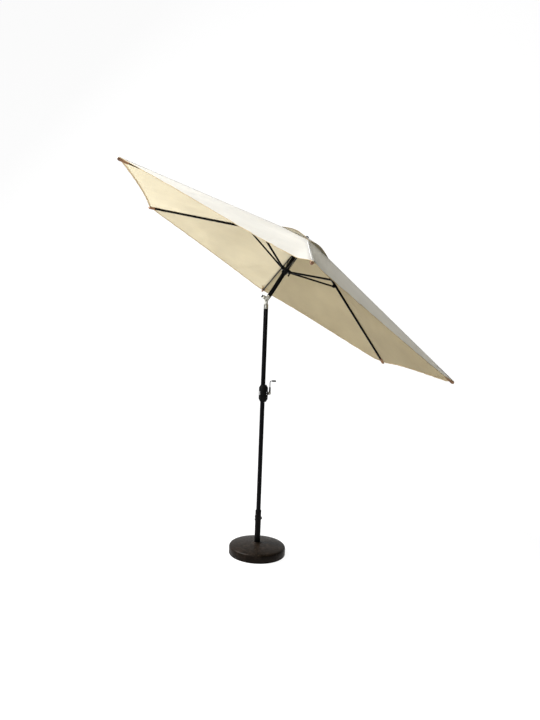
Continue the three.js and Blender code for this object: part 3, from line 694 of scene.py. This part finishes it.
def corner_pocket(index):
    """The leather pocket sewn under a corner of the canopy, which takes the end of the rib."""
    sections = []
    for step in range(17):
        share = step / 16
        radius = RIB_TIP_R + 0.0030 - 0.068 * share
        width = 0.0085 + 0.0045 * smooth_step(share * 1.5)
        depth = 0.0150 * (0.60 + 0.40 * smooth_step(share * 5))
        if step == 0:
            width, depth = width * 0.80, depth * 0.86
        sections.append(pocket_outline(radius, width, depth, 0.0022))
    points, faces = [p for s in sections for p in s], []
    count = len(sections[0])
    for i in range(len(sections) - 1):
        for k in range(count):
            a, b = i * count + k, i * count + (k + 1) % count
            faces.append((a, b, b + count, a + count))
    faces.append(tuple(range(count)))
    inner = len(points)
    mouth = sections[-1]
    middle = sum(mouth, Vector()) / count
    points.extend(p + (middle - p) * 0.10 for p in mouth)
    points.extend(p + (middle - p) * 0.10 + Vector((0.02, 0, 0)) for p in mouth)
    last = (len(sections) - 1) * count
    for k in range(count):
        n = (k + 1) % count
        faces.append((last + k, last + n, inner + n, inner + k))
        faces.append((inner + k, inner + n, inner + count + n, inner + count + k))
    faces.append(tuple(inner + count + k for k in range(count)))
    made = mesh_object(f"corner_pocket_{index + 1}", points, faces, LEATHER)
    place_in(made, rib_matrix(index))
    face_outwards(made)
    sharpen(made, 55)
    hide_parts(f"rib_cap_{index + 1}")
    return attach(made, f"rib_{index + 1}")


def build_canopy():
    for index in range(RIB_COUNT):
        cloth = canopy_section(index)
        band = hem(index)
        seam = rib_seam(index)
        trims = [band, seam, corner_patch(index)]
        trims.append(hem_stitches(index, 0.003, "outer", 0.0006))
        trims.append(hem_stitches(index, 0.010, "inner", 0.0006))
        trims.append(seam_stitches(index, 0.0052, "left"))
        trims.append(seam_stitches(index, -0.0052, "right"))
        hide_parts(f"canopy_section_{index + 1}")
        for piece in [cloth, *trims]:
            fold_with_rib(piece, index)
        corner_pocket(index)


# ---- the vent cap ----
def vent_point(corner, side, out, lift=0.0):
    """A point of the vent cap. side runs from 0 at one corner to 1 at the next; out from the
    finial to the hem. The hem is held down at the corners and stands up between them."""
    angles = [RIB_TURN + HALF_ANGLE + (corner + k) * 2 * HALF_ANGLE for k in (0, 1)]
    ends = [Vector((math.cos(a), math.sin(a), 0)) * VENT_RADIUS * out for a in angles]
    flat = ends[0].lerp(ends[1], side)
    middle = math.sin(math.pi * side)
    flat *= 1 - 0.03 * middle * out
    straight = VENT_APEX + (VENT_EDGE - VENT_APEX) * out
    bulge = VENT_BULGE * math.sin(math.pi * out)
    arch = VENT_ARCHES[corner % RIB_COUNT] * middle * out ** 2
    return flat + Vector((0, 0, straight + bulge + arch + lift))


def vent_grid(outs, lift, sides=16):
    rows = []
    for out in outs:
        row = []
        for corner in range(RIB_COUNT):
            for step in range(sides):
                row.append(vent_point(corner, step / sides, out, lift))
        rows.append(row)
    return rows


def ring_mesh(name, rows, material):
    points = [p for row in rows for p in row]
    count = len(rows[0])
    faces = []
    for i in range(len(rows) - 1):
        for j in range(count):
            k = (j + 1) % count
            faces.append((i * count + j, (i + 1) * count + j, (i + 1) * count + k, i * count + k))
    made = mesh_object(name, points, faces, material)
    return place_in(made, HEAD)


def build_vent():
    outs = [0.04 + 0.96 * i / 18 for i in range(19)]
    half = CLOTH_THICKNESS / 2
    cap = place_in(two_sided_cloth("vent_cloth", vent_grid(outs, half), vent_grid(outs, -half), True), HEAD)
    hem_rows = vent_grid([0.90, 0.95, 1.0], -0.0011)
    hem_rows += vent_grid([1.0, 0.95, 0.90], 0.0008)
    hem_rows.append(hem_rows[0])
    # the vent hem uses the hem cloth, whose darker brown is painted shade
    band = ring_mesh("vent_hem", hem_rows, HEM_CLOTH_PAINTED_SHADE)
    face_outwards(band)
    sharpen(band, 50)
    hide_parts("vent_cap")
    for piece in (cap, band):
        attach(piece, "head")


# ---- the crown and the crank ----
def build_finial():
    profile = [
        (0.0, 0.497), (0.004, 0.497), (0.004, 0.5294), (0.0112, 0.5294), (0.0120, 0.5300),
        (0.0120, 0.5308), (0.0108, 0.5322), (0.0085, 0.5335), (0.0050, 0.5345), (0.0, 0.5349),
    ]
    knob = lathe("finial_detail", profile, PLASTIC, 64)
    place_in(knob, HEAD)
    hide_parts("finial")
    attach(knob, "head")


def along_x(made, x=0.0, z=CRANK_HEIGHT):
    place_in(made, Matrix.Translation((x, 0, z)) @ Matrix.Rotation(math.pi / 2, 4, "Y"))
    return made


def build_crank():
    """The bright domed hub, black sleeve and bent rod of the crank, and its turning grip."""
    hub_profile = [
        (0.0043, 0.042), (0.0100, 0.042), (0.0110, 0.0430), (0.0112, 0.0500),
        (0.0100, 0.0540), (0.0072, 0.0562), (0.0035, 0.0570), (0.0, 0.0571),
    ]
    hub = along_x(lathe("crank_hub", hub_profile, SILVER, 56))
    sleeve_profile = [
        (0.0, 0.006), (0.0052, 0.006), (0.0062, 0.0075), (0.0064, 0.020), (0.0062, 0.040),
        (0.0054, 0.0435), (0.0034, 0.0444), (0.0, 0.0444),
    ]
    sleeve = lathe("crank_sleeve", sleeve_profile, PLASTIC, 40)
    place_in(sleeve, Matrix.Translation((0.049, 0, CRANK_HEIGHT)))
    path = [Vector((0.049, 0, CRANK_HEIGHT + z)) for z in (0.030, 0.045, 0.060, 0.072, 0.078)]
    for k in range(1, 9):
        turn = math.pi / 2 * k / 8
        x, z = 0.059 - 0.010 * math.cos(turn), 0.078 + 0.010 * math.sin(turn)
        path.append(Vector((x, 0, CRANK_HEIGHT + z)))
    path += [Vector((x, 0, CRANK_HEIGHT + 0.088)) for x in (0.064, 0.075, 0.0885)]
    rod = tube("crank_rod", path, 0.0032, STEEL, 16)
    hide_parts("crank_arm")
    for piece in (hub, sleeve, rod):
        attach(piece, "crank")
    grip_profile = [(0.0036, 0.0630), (0.0052, 0.0630), (0.0060, 0.0640)]
    for k in range(9):
        x = 0.066 + 0.0026 * k
        grip_profile += [(0.0065, x), (0.0065, x + 0.0014), (0.0059, x + 0.0018), (0.0059, x + 0.0022)]
    grip_profile += [(0.0064, 0.0896), (0.0050, 0.0904), (0.0, 0.0905)]
    grip = along_x(lathe("crank_grip_detail", grip_profile, GRIP, 40), 0.0, CRANK_HEIGHT + 0.088)
    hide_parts("crank_grip")
    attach(grip, "grip")


def build_lift_cord():
    """The braided cord from the pulley down to the runner, drawn at one length; the real cord lengthens as
    the runner drops.
    """
    top, bottom = Vector((0.0194, 0, 0.458)), Vector((0.018, 0, 0.2555))
    path = [HEAD @ top.lerp(bottom, i / 80) for i in range(81)]
    cord = tube("lift_cord_drop_detail", path, 0.0013, CORD, 10)
    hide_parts("lift_cord_drop")
    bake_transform(cord)


def build_button_spring():
    """The coil behind the tilt button, drawn at its rest length; the real coil shortens as the button is
    pressed.
    """
    path = []
    for i in range(49):
        turn = 2 * math.pi * i / 16
        place = Vector((-0.0302 + 0.00019 * i, 0.0028 * math.cos(turn), 0.0115 + 0.0028 * math.sin(turn)))
        path.append(HEAD @ place)
    spring = tube("button_spring_detail", path, 0.0005, STEEL, 8)
    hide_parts("button_spring")
    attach(spring, "head")
    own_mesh(spring)


# ---- stage ----
def glowing_white(name, own_light, albedo):
    """A pale matt surface that is lit from within as well, so that shadows on it stay faint."""
    material, _, shader = new_material(name)
    shader.inputs["Base Color"].default_value = (*grey(albedo), 1)
    shader.inputs["Roughness"].default_value = 1.0
    shader.inputs["Specular IOR Level"].default_value = 0.0
    shader.inputs["Emission Color"].default_value = (1, 1, 1, 1)
    shader.inputs["Emission Strength"].default_value = own_light
    return material


def build_stage():
    """A wide pale floor that turns up into a backdrop, one soft key light and a faint fill."""
    points, faces = [], []
    profile = [(-7.0, 0.0), (7.0, 0.0)]
    for k in range(1, 13):
        turn = math.pi / 2 * k / 12
        profile.append((7.0 + 2.5 * math.sin(turn), 2.5 - 2.5 * math.cos(turn)))
    profile.append((9.5, 16.0))
    for y, z in profile:
        points += [(-16.0, y, z - 0.0004), (16.0, y, z - 0.0004)]
    for i in range(len(profile) - 1):
        faces.append((2 * i, 2 * i + 1, 2 * i + 3, 2 * i + 2))
    mesh_object("floor", points, faces, glowing_white("pale_floor", 0.93, 0.12))

    world = bpy.data.worlds.new("studio")
    world.use_nodes = True
    back = world.node_tree.nodes["Background"]
    back.inputs["Color"].default_value = (0.92, 0.95, 1.0, 1)
    back.inputs["Strength"].default_value = 0.06
    bpy.context.scene.world = world
    add_area("key", (-5.6, 0.15, 7.2), (-0.1, 0.0, 2.1), 2.2, 2350)
    add_area("front_strip", (-1.4, -4.2, 2.2), (0.0, 0.0, 1.1), 0.5, 60)


def add_area(name, place, target, size, power):
    data = bpy.data.lights.new(name, "AREA")
    data.size = size
    data.energy = power
    lamp = bpy.data.objects.new(name, data)
    lamp.location = place
    lamp.rotation_mode = "QUATERNION"
    lamp.rotation_quaternion = (Vector(target) - Vector(place)).to_track_quat("-Z", "Y")
    bpy.context.scene.collection.objects.link(lamp)


def build_camera():
    focal_pixels, picture_height = 529.82, 720.0
    yaw, pitch, roll = 0.0311, -0.02662, -0.03645
    data = bpy.data.cameras.new("camera")
    data.sensor_width = 36.0
    data.lens = 36.0 * focal_pixels / picture_height
    data.shift_x = 22.5 / picture_height
    data.clip_end = 100
    camera = bpy.data.objects.new("camera", data)
    turn = Matrix.Rotation(yaw, 4, "Z") @ Matrix.Rotation(pitch, 4, "X") @ Matrix.Rotation(roll, 4, "Y")
    look_along_y = Matrix.Rotation(math.pi / 2, 4, "X")
    camera.matrix_world = Matrix.Translation((0, -3.74688, 1.47101)) @ turn @ look_along_y
    bpy.context.scene.collection.objects.link(camera)
    bpy.context.scene.camera = camera
    bpy.context.scene.view_settings.view_transform = "Standard"


build_camera()
dress_cad_nodes()
base_shell()
build_canopy()
build_vent()
build_finial()
build_crank()
build_lift_cord()
build_button_spring()
build_stage()
